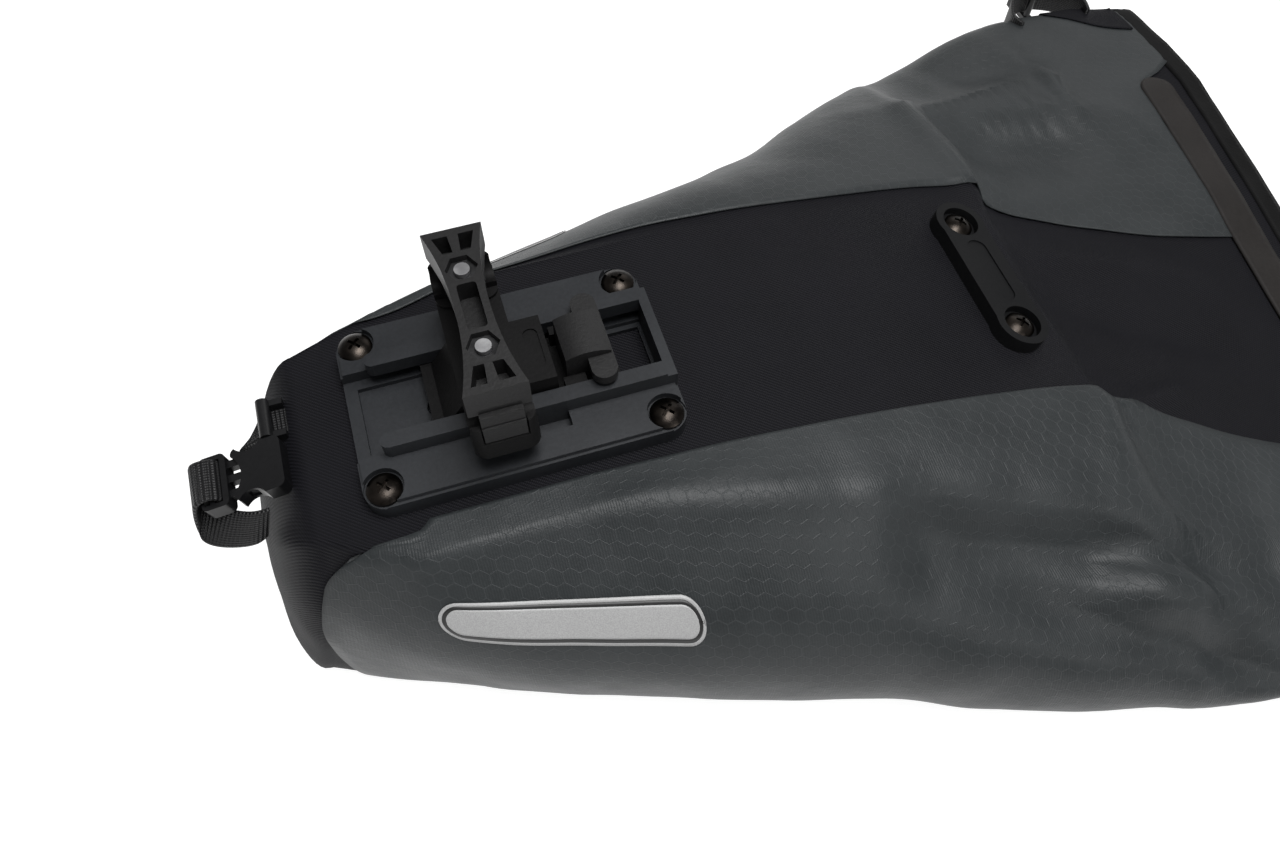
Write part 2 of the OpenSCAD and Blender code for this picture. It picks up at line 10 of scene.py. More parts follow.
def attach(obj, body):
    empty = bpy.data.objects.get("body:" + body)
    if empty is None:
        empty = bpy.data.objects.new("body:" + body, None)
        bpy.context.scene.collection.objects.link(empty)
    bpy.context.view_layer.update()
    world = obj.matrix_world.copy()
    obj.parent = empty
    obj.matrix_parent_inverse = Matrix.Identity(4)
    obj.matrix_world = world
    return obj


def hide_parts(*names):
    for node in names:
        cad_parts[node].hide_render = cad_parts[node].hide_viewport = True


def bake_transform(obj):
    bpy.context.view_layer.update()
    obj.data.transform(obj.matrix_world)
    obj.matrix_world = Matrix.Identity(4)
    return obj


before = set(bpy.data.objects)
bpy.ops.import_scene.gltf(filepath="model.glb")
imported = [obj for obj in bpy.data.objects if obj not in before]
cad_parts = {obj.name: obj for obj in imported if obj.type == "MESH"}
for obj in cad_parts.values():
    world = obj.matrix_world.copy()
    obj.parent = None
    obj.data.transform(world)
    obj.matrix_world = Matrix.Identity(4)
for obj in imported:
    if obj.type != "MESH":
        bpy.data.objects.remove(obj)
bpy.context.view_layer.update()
scene = bpy.context.scene
MM = 0.001


# ---- Camera ----

def make_camera():
    cam = bpy.data.cameras.new("camera")
    cam.sensor_width = 36
    cam.lens = 28.125
    cam.clip_start = 0.01
    scene.view_settings.view_transform = "Standard"
    ob = bpy.data.objects.new("camera", cam)
    scene.collection.objects.link(ob)
    pitch, heading = math.radians(59.94), math.radians(17.36)
    look = Vector((math.sin(heading) * math.cos(pitch), math.cos(heading) * math.cos(pitch),
                   -math.sin(pitch)))
    right = Vector((math.cos(heading), -math.sin(heading), 0))
    up = right.cross(look)
    m = Matrix((right, up, -look)).transposed().to_4x4()
    m.translation = Vector((-9.7, -151.4, 315.8)) * MM
    ob.matrix_world = m
    scene.camera = ob


# ---- Small helpers ----

def link(mesh, name):
    ob = bpy.data.objects.new(name, mesh)
    scene.collection.objects.link(ob)
    return ob


def smooth_all(mesh):
    mesh.polygons.foreach_set("use_smooth", [True] * len(mesh.polygons))


def step(a, b, x):
    """Smooth ramp from 0 at a to 1 at b."""
    t = np.clip((np.asarray(x, float) - a) / (b - a), 0, 1)
    return t * t * (3 - 2 * t)


# ---- The bag's surface, in millimetres ----
# x, widest half width on the far and on the near side, its level, top level, bottom level
STATION = np.array([
    [-57, 40.5, 41, 42, 81, 0], [-47, 45.5, 49, 41, 81, 0], [-30, 52.5, 60, 40, 81, 0],
    [-10, 60, 69, 38, 81, 0], [15, 68.5, 78, 36, 81, 0], [45, 78, 87.5, 34, 81, 0],
    [75, 87, 97, 30, 79, 0], [105, 100, 106, 26, 75, 0], [135, 118, 115.5, 24, 69, 0],
    [162, 132, 125, 22, 62.6, 0], [168, 134.5, 127, 22, 60.6, 0.5],
    [176, 137, 129, 22, 52.5, 2.5], [195, 142, 133, 23, 46.5, 8],
    [220, 148, 139.5, 26, 43, 16], [248, 151, 146, 29, 40, 22],
    [275, 150, 148, 30, 38, 23.5], [297, 146, 145, 30, 36, 24],
    [306, 143, 142.5, 30, 35.4, 24.5]], float)
NOSE_X, NOSE_R, NOSE_RAKE, NOSE_MID = -57.0, 14.0, 0.24, 38.0
NOSE_SPAN = 24.0
TOP_HALF = 42.0        # half width of the flat top
MM_PER_S = 78.0        # about the badge
INSIDE = np.array([60.0, 0, 30.0])    # a place inside the bag
MIDDLE = (90, 0, 34)   # and one near its middle
PANEL_END = 300.5      # the grey panels end here, at the hem
PANEL_FOOT = 2.03      # in s, just past the bottom seam


def pchip(xs, ys, x):
    """Monotone cubic interpolation."""
    h = np.diff(xs)
    d = np.diff(ys) / h
    m = np.zeros_like(ys)
    m[0], m[-1] = d[0], d[-1]
    for i in range(1, len(ys) - 1):
        if d[i - 1] * d[i] > 0:
            w1, w2 = 2 * h[i] + h[i - 1], h[i] + 2 * h[i - 1]
            m[i] = (w1 + w2) / (w1 / d[i - 1] + w2 / d[i])
    i = np.clip(np.searchsorted(xs, x) - 1, 0, len(h) - 1)
    t = np.clip((x - xs[i]) / h[i], 0, 1)
    t2, t3 = t * t, t * t * t
    return ((2 * t3 - 3 * t2 + 1) * ys[i] + (t3 - 2 * t2 + t) * h[i] * m[i]
            + (3 * t2 - 2 * t3) * ys[i + 1] + (t3 - t2) * h[i] * m[i + 1])


def bez(a, b, c, d, t):
    return a * (1 - t) ** 3 + 3 * b * t * (1 - t) ** 2 + 3 * c * t * t * (1 - t) + d * t ** 3


def shell(m, s):
    """Plain surface point for m (place along the bag; below NOSE_X it runs over the nose)
    and s (0 middle of the top, 1 top seam, 1.5 widest, 2 bottom seam, 3 middle of the bottom)."""
    m, s = np.broadcast_arrays(np.asarray(m, float), np.asarray(s, float))
    x = np.maximum(m, NOSE_X)
    far, near, mid, top, low = (pchip(STATION[:, 0], STATION[:, k], x) for k in range(1, 6))
    w = np.where(s > 0, far, near)
    a = np.minimum(TOP_HALF, 0.72 * w)
    b = 0.74 * w
    q = np.abs(s)
    y1, z1 = a * np.minimum(q, 1), top
    t = np.clip(2 * q - 2, 0, 1)
    y2 = bez(a, a + 0.5 * (w - a), w, w, t)
    droop = 0.30 - 0.25 * step(-20, 90, x)
    z2 = bez(top, top - droop * (top - mid), mid + 0.55 * (top - mid), mid, t)
    t = np.clip(2 * q - 3, 0, 1)
    y3 = bez(w, w, b + 0.5 * (w - b), b, t)
    z3 = bez(mid, mid - 0.6 * (mid - low), low, low, t)
    y = np.where(q <= 1, y1, np.where(q <= 1.5, y2, np.where(q <= 2, y3, b * (3 - q))))
    z = np.where(q <= 1, z1, np.where(q <= 1.5, z2, np.where(q <= 2, z3, low)))
    # nose
    u = np.clip((NOSE_X - m) / NOSE_SPAN, 0, 1)
    f = np.maximum(np.cos(0.5 * np.pi * u), 0)
    x = x - NOSE_R * np.sin(0.5 * np.pi * u)
    y = y * f
    z = np.where(u > 0, NOSE_MID + (z - NOSE_MID) * f, z)
    x = x - NOSE_RAKE * np.clip((-30 - x) / 28, 0, 1) * (81 - z)
    return np.stack([x, np.sign(s) * y, z], -1)


def fold(p, ax, ay, bx, by, wide, depth, sharp=1.0, fade=0.25):
    """A crease or swelling along the line a-b seen from above; depth is signed."""
    d = np.array([bx - ax, by - ay], float)
    length = np.hypot(*d)
    d /= length
    rx, ry = p[..., 0] - ax, p[..., 1] - ay
    along = (rx * d[0] + ry * d[1]) / length
    off = rx * -d[1] + ry * d[0]
    ends = step(-fade, fade, along) * (1 - step(1 - fade, 1 + fade, along))
    return depth * ends * np.exp(-np.abs(off / wide) ** (1 + sharp))


def ridge(p, points, wide, depth, sharp):
    """One crease along several points, deepest part only, so joints don't add up."""
    parts = [fold(p, *a, *b, wide, depth, sharp, 0.3) for a, b in zip(points, points[1:])]
    return np.max(parts, axis=0)


def relief(p, s):
    """How far the fabric stands out of the plain surface, in millimetres."""
    up = step(1.98, 1.7, np.abs(s))
    d = np.zeros(p.shape[:-1])
    # far side: the board's end runs out to a point, with folds between it and the mouth
    far = (s > 0) * up
    d += far * fold(p, 170, 40, 171, 98, 5, 4.5, 0.3)
    d += far * fold(p, 171, 96, 238, 106, 5, 3.6, 0.3)
    d += far * fold(p, 188, 74, 238, 66, 12, -3.8)
    d += far * fold(p, 200, 90, 238, 86, 4, 3.0, 0.4)
    d += far * fold(p, 232, 88, 274, 72, 5, 3.2, 0.5)
    d += far * fold(p, 236, 132, 245, 106, 4, 3.2, 0.4)
    d += far * fold(p, 245, 108, 239, 90, 4, 3.2, 0.4)
    d += far * fold(p, 205, 118, 250, 124, 9, -2.6)
    # near side: a long roll, the hollow under it and a pocket opening towards the mouth
    near = (s < 0) * up
    d += near * ridge(p, [(20, -43), (76, -54), (127, -67), (168, -81), (198, -96)], 5.5, 3.4, 0.25)
    d += near * fold(p, 112, -76, 168, -90, 4, -3.0, 0.6)
    d += near * fold(p, 172, -40, 160, -66, 6, 1.8, 0.8)
    d += near * fold(p, 90, -70, 152, -92, 13, -7.5, 1.4, 0.16)
    d += near * fold(p, 148, -86, 216, -102, 6, -3.4, 0.8)
    d += near * fold(p, 190, -90, 240, -112, 9, 3.0, 0.8)
    d += near * fold(p, 138, -93, 204, -110, 6, 4.2, 0.6)
    d += near * fold(p, 118, -93, 196, -129, 5, -5.0, 0.5)
    d += near * fold(p, 96, -98, 150, -116, 9, 3.0)
    # behind the ridge
    mid = (np.abs(s) <= 1.3) * 1.0
    d += mid * fold(p, 172, -44, 214, -40, 5, 2.4)
    d += mid * fold(p, 172, 26, 250, 2, 7, 2.0)
    d += mid * fold(p, 176, 0, 240, -26, 8, -1.8)
    return d


def wavy(p, seed, size, amount):
    """Soft random unevenness."""
    flat = p.reshape(-1, 3)
    out = np.array([noise.noise(Vector((v[0] / size + seed, v[1] / size, v[2] / size)))
                    for v in flat])
    return amount * out.reshape(p.shape[:-1])


def drape(p):
    """The mouth is turned on the near side."""
    x, y, z = p[..., 0], p[..., 1], p[..., 2]
    t = 92 - y
    turn = 0.5 * (t + np.sqrt(t * t + 400))
    t = 125 - turn
    turn = 125 - 0.5 * (t + np.sqrt(t * t + 200))
    return np.stack([x - step(175, 292, x) * 0.17 * turn, y, z], -1)


def normals(p):
    du = np.gradient(p, axis=0)
    dv = np.gradient(p, axis=1)
    n = np.cross(dv, du)
    n /= np.maximum(np.linalg.norm(n, axis=-1, keepdims=True), 1e-9)
    return n


def skin_points(m, s, lift=0.0):
    """Finished surface over the grid m[i, j], s[i, j], raised by lift. Also the cloth's own flat
    coordinates for its weave."""
    p = shell(m, s)
    n = normals(p)
    away = np.sign(np.sum(n * (p - INSIDE), axis=-1))
    if away.mean() <= 0:
        n = -n
    soft = step(-95, -70, m) * (0.15 + 0.85 * step(1.0, 1.25, np.abs(s)) + 0.7 * step(170, 190, m))
    d = relief(p, s) + soft * (wavy(p, 3.0, 46.0, 1.5) + wavy(p, 12.0, 17.0, 0.45))
    p = p + n * (d + lift)[..., None]
    seg = np.linalg.norm(np.diff(p, axis=1), axis=-1)
    flat_v = np.concatenate([np.zeros((p.shape[0], 1)), np.cumsum(seg, axis=1)], axis=1)
    zero = np.argmin(np.abs(s[0])) if s.min() < 0 < s.max() else 0
    flat_v = flat_v - flat_v[:, zero:zero + 1]
    p = drape(p)
    return p, np.stack([m, flat_v, np.zeros(m.shape)], -1)


def grid_mesh(name, p, flat, keep=None, close=False):
    """Quad mesh over a grid of points in millimetres."""
    rows, cols = p.shape[:2]
    verts = (p.reshape(-1, 3) * MM).tolist()
    faces = []
    for i in range(rows - 1):
        for j in range(cols if close else cols - 1):
            k = (j + 1) % cols
            if keep is not None and not keep[i, j]:
                continue
            faces.append((i * cols + j, i * cols + k, (i + 1) * cols + k, (i + 1) * cols + j))
    me = bpy.data.meshes.new(name)
    me.from_pydata(verts, [], faces)
    at = me.attributes.new("weave", "FLOAT_VECTOR", "POINT")
    at.data.foreach_set("vector", (flat.reshape(-1, 3) * MM).ravel())
    me.update()
    bm = bmesh.new()
    bm.from_mesh(me)
    bmesh.ops.delete(bm, geom=[v for v in bm.verts if not v.link_faces], context="VERTS")
    bm.to_mesh(me)
    bm.free()
    smooth_all(me)
    return link(me, name)


def outward(ob, centre):
    """Turns the mesh's faces so that most look away from centre."""
    me = ob.data
    c = Vector(centre) * MM
    votes = sum(1 if f.normal.dot(f.center - c) > 0 else -1 for f in me.polygons)
    if votes < 0:
        me.flip_normals()


def apply_modifiers(ob):
    """Replaces the mesh by what its modifiers make of it."""
    dg = bpy.context.evaluated_depsgraph_get()
    me = bpy.data.meshes.new_from_object(ob.evaluated_get(dg))
    ob.modifiers.clear()
    old, ob.data = ob.data, me
    me.name = ob.name
    bpy.data.meshes.remove(old)


def thicken(ob, mm):
    """Gives a surface its thickness, inwards."""
    m = ob.modifiers.new("thick", "SOLIDIFY")
    m.thickness = mm * MM
    m.offset = -1
    m.use_even_offset = False
    m.use_rim = True
    apply_modifiers(ob)
    smooth_all(ob.data)


# ---- Materials ----

class Nodes:
    """Short way to build a shader."""

    def __init__(self, name):
        self.mat = bpy.data.materials.new(name)
        self.mat.use_nodes = True
        self.t = self.mat.node_tree
        self.t.nodes.clear()
        out = self.t.nodes.new("ShaderNodeOutputMaterial")
        self.bsdf = self.t.nodes.new("ShaderNodeBsdfPrincipled")
        self.t.links.new(self.bsdf.outputs[0], out.inputs["Surface"])

    def put(self, socket, value):
        if hasattr(value, "links"):
            self.t.links.new(value, socket)
        else:
            socket.default_value = value

    def math(self, op, a, b=0.0, c=0.0):
        n = self.t.nodes.new("ShaderNodeMath")
        n.operation = op
        for i, v in enumerate((a, b, c)):
            self.put(n.inputs[i], v)
        return n.outputs[0]

    def vec(self, op, a, b=(0, 0, 0), c=(0, 0, 0)):
        n = self.t.nodes.new("ShaderNodeVectorMath")
        n.operation = op
        for i, v in enumerate((a, b, c)):
            self.put(n.inputs[i], v)
        return n.outputs[0]

    def attribute(self, name):
        n = self.t.nodes.new("ShaderNodeAttribute")
        n.attribute_name = name
        return n.outputs["Vector"]

    def place(self):
        return self.t.nodes.new("ShaderNodeTexCoord").outputs["Object"]

    def split(self, v):
        n = self.t.nodes.new("ShaderNodeSeparateXYZ")
        self.put(n.inputs[0], v)
        return n.outputs

    def noise(self, v, scale, detail=3.0, rough=0.5):
        n = self.t.nodes.new("ShaderNodeTexNoise")
        self.put(n.inputs["Vector"], v)
        n.inputs["Scale"].default_value = scale
        n.inputs["Detail"].default_value = detail
        n.inputs["Roughness"].default_value = rough
        return n.outputs["Fac"]

    def wave(self, v, scale, turn=0.0):
        """Parallel ribs across the first coordinate, scale to the metre, 0 to 1."""
        x, y, _ = self.split(v)
        c, s = math.cos(turn), math.sin(turn)
        k = self.math("ADD", self.math("MULTIPLY", x, c * scale * 2 * math.pi),
                      self.math("MULTIPLY", y, s * scale * 2 * math.pi))
        return self.math("MULTIPLY_ADD", self.math("SINE", k), 0.5, 0.5)

    def hexes(self, v, size):
        """0 in the middle of each honeycomb cell, 1 along its edges."""
        p = self.vec("SCALE", v)
        p.node.inputs["Scale"].default_value = 1 / size

        def cell(q):
            w = self.vec("WRAP", q, (0.5, 0.8660254, 1), (-0.5, -0.8660254, -1))
            x, y, _ = self.split(self.vec("ABSOLUTE", w))
            slant = self.math("ADD", self.math("MULTIPLY", x, 0.5),
                              self.math("MULTIPLY", y, 0.8660254))
            return self.math("MAXIMUM", slant, x)
        h = self.math("MINIMUM", cell(p), cell(self.vec("ADD", p, (0.5, 0.8660254, 0))))
        r = self.t.nodes.new("ShaderNodeMapRange")
        r.interpolation_type = "SMOOTHSTEP"
        self.put(r.inputs[0], h)
        r.inputs[1].default_value = 0.455
        r.inputs[2].default_value = 0.488
        return r.outputs[0]

    def ramp(self, fac, *stops):
        n = self.t.nodes.new("ShaderNodeValToRGB")
        self.put(n.inputs[0], fac)
        e = n.color_ramp.elements
        while len(e) < len(stops):
            e.new(0.5)
        for el, (pos, col) in zip(e, stops):
            el.position = pos
            el.color = (*col, 1)
        return n.outputs[0]

    def range(self, fac, lo, hi):
        n = self.t.nodes.new("ShaderNodeMapRange")
        self.put(n.inputs[0], fac)
        n.inputs[3].default_value = lo
        n.inputs[4].default_value = hi
        return n.outputs[0]

    def bump(self, height, distance, strength=1.0, normal=None):
        n = self.t.nodes.new("ShaderNodeBump")
        n.inputs["Strength"].default_value = strength
        n.inputs["Distance"].default_value = distance
        self.put(n.inputs["Height"], height)
        if normal is not None:
            self.put(n.inputs["Normal"], normal)
        return n.outputs[0]

    def done(self, **inputs):
        for k, v in inputs.items():
            self.put(self.bsdf.inputs[k.replace("_", " ")], v)
        return self.mat


def gray(v, tint=(1, 1, 1)):
    return tuple(v * t for t in tint)


def fabric_black():
    n = Nodes("black_twill")
    w = n.attribute("weave")
    rib = n.wave(w, 1150, math.radians(52))
    cross = n.wave(w, 1900, math.radians(-40))
    cloud = n.noise(n.place(), 38, 4)
    fine = n.noise(w, 2600, 2)
    fac = n.math("ADD", n.math("MULTIPLY", rib, 0.5),
                 n.math("ADD", n.math("MULTIPLY", cloud, 0.35), n.math("MULTIPLY", fine, 0.15)))
    col = n.ramp(fac, (0.15, (0.0026, 0.0026, 0.0034)), (0.85, (0.0105, 0.0104, 0.0132)))
    b = n.bump(n.math("ADD", rib, n.math("MULTIPLY", cross, 0.5)), 0.00016, 0.8)
    b = n.bump(cloud, 0.0012, 0.35, b)
    return n.done(Base_Color=col, Roughness=n.range(cloud, 0.5, 0.66), Normal=b,
                  Specular_IOR_Level=0.09)


def fabric_grey():
    n = Nodes("grey_ripstop")
    w = n.attribute("weave")
    cell = n.hexes(w, 0.0045)
    thread = n.wave(w, 1400, 0.0)
    grain = n.noise(w, 1500, 2, 0.6)
    cloud = n.noise(n.place(), 22, 4)
    patch = n.noise(n.place(), 90, 3)
    fac = n.math("ADD", n.math("MULTIPLY", cloud, 0.35),
                 n.math("ADD", n.math("MULTIPLY", patch, 0.3), n.math("MULTIPLY", grain, 0.35)))
    col = n.ramp(fac, (0.25, (0.0150, 0.0174, 0.0184)), (0.75, (0.0310, 0.0345, 0.0362)))
    mix = n.t.nodes.new("ShaderNodeMix")
    mix.data_type = "RGBA"
    n.put(mix.inputs[0], n.math("MULTIPLY", cell, 0.12))
    n.put(mix.inputs[6], col)
    n.put(mix.inputs[7], (0.085, 0.092, 0.096, 1))
    weave = n.math("ADD", n.math("MULTIPLY", thread, 0.3), n.math("MULTIPLY", grain, 0.7))
    b = n.bump(n.math("ADD", n.math("MULTIPLY", cell, 0.6), weave), 0.00016, 0.6)
    b = n.bump(patch, 0.0012, 0.3, b)
    return n.done(Base_Color=mix.outputs[2], Roughness=n.range(patch, 0.38, 0.52), Normal=b,
                  Specular_IOR_Level=0.26)


def fabric_hem():
    n = Nodes("hem_tape")
    w = n.attribute("weave")
    rib = n.wave(w, 1400, math.radians(90))
    cloud = n.noise(n.place(), 60, 3)
    col = n.ramp(cloud, (0.3, (0.0030, 0.0030, 0.0031)), (0.75, (0.0070, 0.0069, 0.0069)))
    b = n.bump(rib, 0.0001, 0.5)
    return n.done(Base_Color=col, Roughness=n.range(cloud, 0.5, 0.66), Normal=b,
                  Specular_IOR_Level=0.1)


def webbing_mat():
    n = Nodes("webbing")
    w = n.attribute("weave")
    rib = n.wave(w, 900, 0.0)
    side = n.wave(w, 1250, math.radians(90))
    fine = n.noise(w, 3000, 2)
    fac = n.math("ADD", n.math("MULTIPLY", rib, 0.5), n.math("MULTIPLY", fine, 0.5))
    col = n.ramp(fac, (0.2, (0.0030, 0.0030, 0.0034)), (0.85, (0.0095, 0.0094, 0.0102)))
    b = n.bump(n.math("ADD", rib, n.math("MULTIPLY", side, 0.6)), 0.00025, 0.9)
    return n.done(Base_Color=col, Roughness=n.range(fine, 0.36, 0.6), Normal=b,
                  Specular_IOR_Level=0.3)


def plastic(name, dark, light, rough, grain, scale=900.0, spec=0.3):
    n = Nodes(name)
    p = n.place()
    speck = n.noise(p, scale, 3, 0.6)
    cloud = n.noise(p, 45, 3)
    fac = n.math("ADD", n.math("MULTIPLY", speck, 0.5), n.math("MULTIPLY", cloud, 0.5))
    col = n.ramp(fac, (0.3, dark), (0.7, light))
    b = n.bump(speck, grain, 0.6)
    return n.done(Base_Color=col, Roughness=n.range(cloud, rough - 0.06, rough + 0.08), Normal=b,
                  Specular_IOR_Level=spec)


def metal(name, dark, light, rough, metallic=1.0):
    n = Nodes(name)
    p = n.place()
    cloud = n.noise(p, 260, 4)
    fine = n.noise(p, 2400, 2)
    col = n.ramp(cloud, (0.3, dark), (0.7, light))
    b = n.bump(fine, 0.00004, 0.5)
    return n.done(Base_Color=col, Roughness=n.range(cloud, rough - 0.06, rough + 0.08), Normal=b,
                  Metallic=metallic)


def badge_mat(name, level, rough):
    n = Nodes(name)
    p = n.place()
    fine = n.noise(p, 3200, 2)
    col = n.ramp(fine, (0.35, gray(level * 0.85)), (0.65, gray(level * 1.1)))
    b = n.bump(fine, 0.00004, 0.5)
    return n.done(Base_Color=col, Roughness=n.range(fine, rough, rough + 0.12), Normal=b)


def floor_mat():
    n = Nodes("floor")
    cloud = n.noise(n.place(), 3, 2)
    col = n.ramp(cloud, (0.3, gray(0.28)), (0.7, gray(0.30)))
    return n.done(Base_Color=col, Roughness=0.9, Specular_IOR_Level=0.0,
                  Emission_Color=(1, 1, 1, 1), Emission_Strength=0.91)


def paint(ob, mat):
    ob.data.materials.clear()
    ob.data.materials.append(mat)


# ---- Bag fabric ----

def front_edge(s):
    """Where the grey side panel begins, as m for a given |s|."""
    return pchip(np.array([0.7, 0.8, 0.92, 1.04, 1.21, 1.41, 1.55, 1.8, 2.1]),
                 np.array([-27, -30.5, -38, -50, -57, -59, -56.5, -50, -46.0]), np.abs(s))


def back_edge(s):
    """Where the grey side panel ends: under the stiffener on top, at the hem round the sides."""
    return 279 + 21.5 * step(1.14, 1.26, np.abs(s))


def seam_y(m, side):
    """The top seam's distance from the middle. Behind the ridge the black strip swings to the
    near side, with its mouth end narrowed between the two folds."""
    x = [-60, -30, -11, 8, 40, 72, 106, 143, 169, 182, 199, 219, 251, 310]
    if side > 0:
        y = [34, 35.5, 40, 44, 47, 46.5, 46.5, 47.5, 46, 41, 35, 28, 19, 8]
    else:
        y = [31, 32, 32, 32, 33, 34, 35, 36, 38, 42, 49, 58, 69, 86]
    return pchip(np.array(x, float), np.array(y, float), m)


def top_edge(m, side):
    """The top seam in s, for side +1 (far) or -1 (near)."""
    place = np.linspace(-60, 310, 75)
    s = np.linspace(0, 1.5, 90)
    M, S = np.meshgrid(place, s, indexing="ij")
    y = np.abs(shell(np.maximum(M, NOSE_X), side * S)[..., 1])
    edge = np.array([np.interp(seam_y(place[i], side), y[i], s) for i in range(len(place))])
    return np.interp(m, place, edge)


def build_fabric(mats):
    black, grey = mats["black"], mats["grey"]
    pieces = {}
    # black base all the way round, cut away where the grey panels lie over it
    u = np.concatenate([NOSE_X - NOSE_SPAN * np.linspace(0.985, 0.02, 15),
                        np.arange(NOSE_X, 304.1, 2.4)])
    s = np.concatenate([np.linspace(-3, -2, 13)[:-1], np.linspace(-2, -1, 37)[:-1],
                        np.linspace(-1, 1, 45)[:-1], np.linspace(1, 2, 37)[:-1],
                        np.linspace(2, 3, 13)[:-1]])
    M, S = np.meshgrid(u, s, indexing="ij")
    # under the grey panels the black fabric lies lower
    under = np.where(S > 0, np.abs(S) - top_edge(M, 1), np.abs(S) - top_edge(M, -1))
    low = (step(0.01, 0.07, under) * step(2.0, 1.95, np.abs(S)) * step(1, 6, M - front_edge(S))
           * step(1, 5, back_edge(S) - M))
    p, flat = skin_points(M, S, lift=-1.4 * low)
    mc = 0.5 * (M[:-1] + M[1:])
    sc = S[:-1]
    covered = np.zeros(mc.shape, bool)
    for side in (1, -1):
        seam = top_edge(mc, side)
        on = (np.sign(sc) == side)
        covered |= (on & (np.abs(sc) > seam + 0.10) & (np.abs(sc) < 1.93)
                    & (mc > front_edge(sc) + 9) & (mc < back_edge(sc) - 5))
    base = grid_mesh("black_shell", p, flat, keep=~covered, close=True)
    outward(base, MIDDLE)
    # close the nose
    bm = bmesh.new()
    bm.from_mesh(base.data)
    edges = [e for e in bm.edges if e.is_boundary and all(w.co.x < -0.069 for w in e.verts)]
    bmesh.ops.holes_fill(bm, edges=edges, sides=0)
    bm.to_mesh(base.data)
    bm.free()
    smooth_all(base.data)
    thicken(base, 0.9)
    paint(base, black)
    pieces["shell"] = base
    # grey side panels, welded on top: A runs along the panel, V from the top seam to the bottom
    for side, name in ((1, "side_panel_right"), (-1, "side_panel_left")):
        rows = 150
        v = np.concatenate([np.linspace(0, 0.12, 9)[:-1], np.linspace(0.12, 1, 40)])
        a = np.linspace(0, 1, rows)
        A, V = np.meshgrid(a, v, indexing="ij")
        ss = np.zeros(A.shape)
        end_lo = float(top_edge(np.array([285.0]), side)[0])
        short = PANEL_END - back_edge(end_lo + V * (PANEL_FOOT - end_lo))
        for _ in range(5):
            start = front_edge(np.where(ss == 0, 1.0 + V, ss))
            m = start + A * (PANEL_END - start) - A ** 5 * short
            lo = top_edge(m, side)
            ss = lo + V * (PANEL_FOOT - lo)
        p, flat = skin_points(m, side * ss, lift=0.8)
        flat[..., 1] = flat[..., 1] - flat[:, -1:, 1]
        ob = grid_mesh(name + "_skin", p, flat)
        outward(ob, MIDDLE)
        thicken(ob, 0.55)
        paint(ob, grey)
        pieces[name] = ob
    return pieces


def ring_band(name, m0, m1, lift, thick, mat, s_lo=-3.0, s_hi=3.0, closed=True, rows=5, cols=180,
              crown=0.0, cut=0.0):
    """Strip that follows the surface round the section."""
    u = np.linspace(m0, m1, rows)
    s = np.linspace(s_lo, s_hi, cols + 1)
    if closed:
        s = s[:-1]
    M, S = np.meshgrid(u, s, indexing="ij")
    t = (M - m0) / (m1 - m0)
    mid = 0.5 * (s_lo + s_hi)
    S = mid + (S - mid) * (1 - cut * (1 - t) ** 2)
    p, flat = skin_points(M, S, lift=0.0)
    n = normals(p)
    c = np.array([0.5 * (m0 + m1), 0, 30.0])
    if np.sum(n * (p - c)) < 0:
        n = -n
    p = p + n * (lift + crown * (1 - (2 * t - 1) ** 4))[..., None]
    ob = grid_mesh(name, p, flat, close=closed)
    outward(ob, (0.5 * (m0 + m1), 0, 30))
    thicken(ob, thick)
    paint(ob, mat)
    return ob


def curve(points, steps):
    """Smooth curve through the points."""
    pts = np.array(points, float)
    n = len(pts)
    dense = []
    for i in range(n - 1):
        a, b, c, d = pts[max(i - 1, 0)], pts[i], pts[i + 1], pts[min(i + 2, n - 1)]
        for k in range(steps):
            t = k / steps
            dense.append(0.5 * (2 * b + (c - a) * t + (2 * a - 5 * b + 4 * c - d) * t ** 2
                                + (3 * b - a - 3 * c + d) * t ** 3))
    return np.array(dense + [pts[-1]])


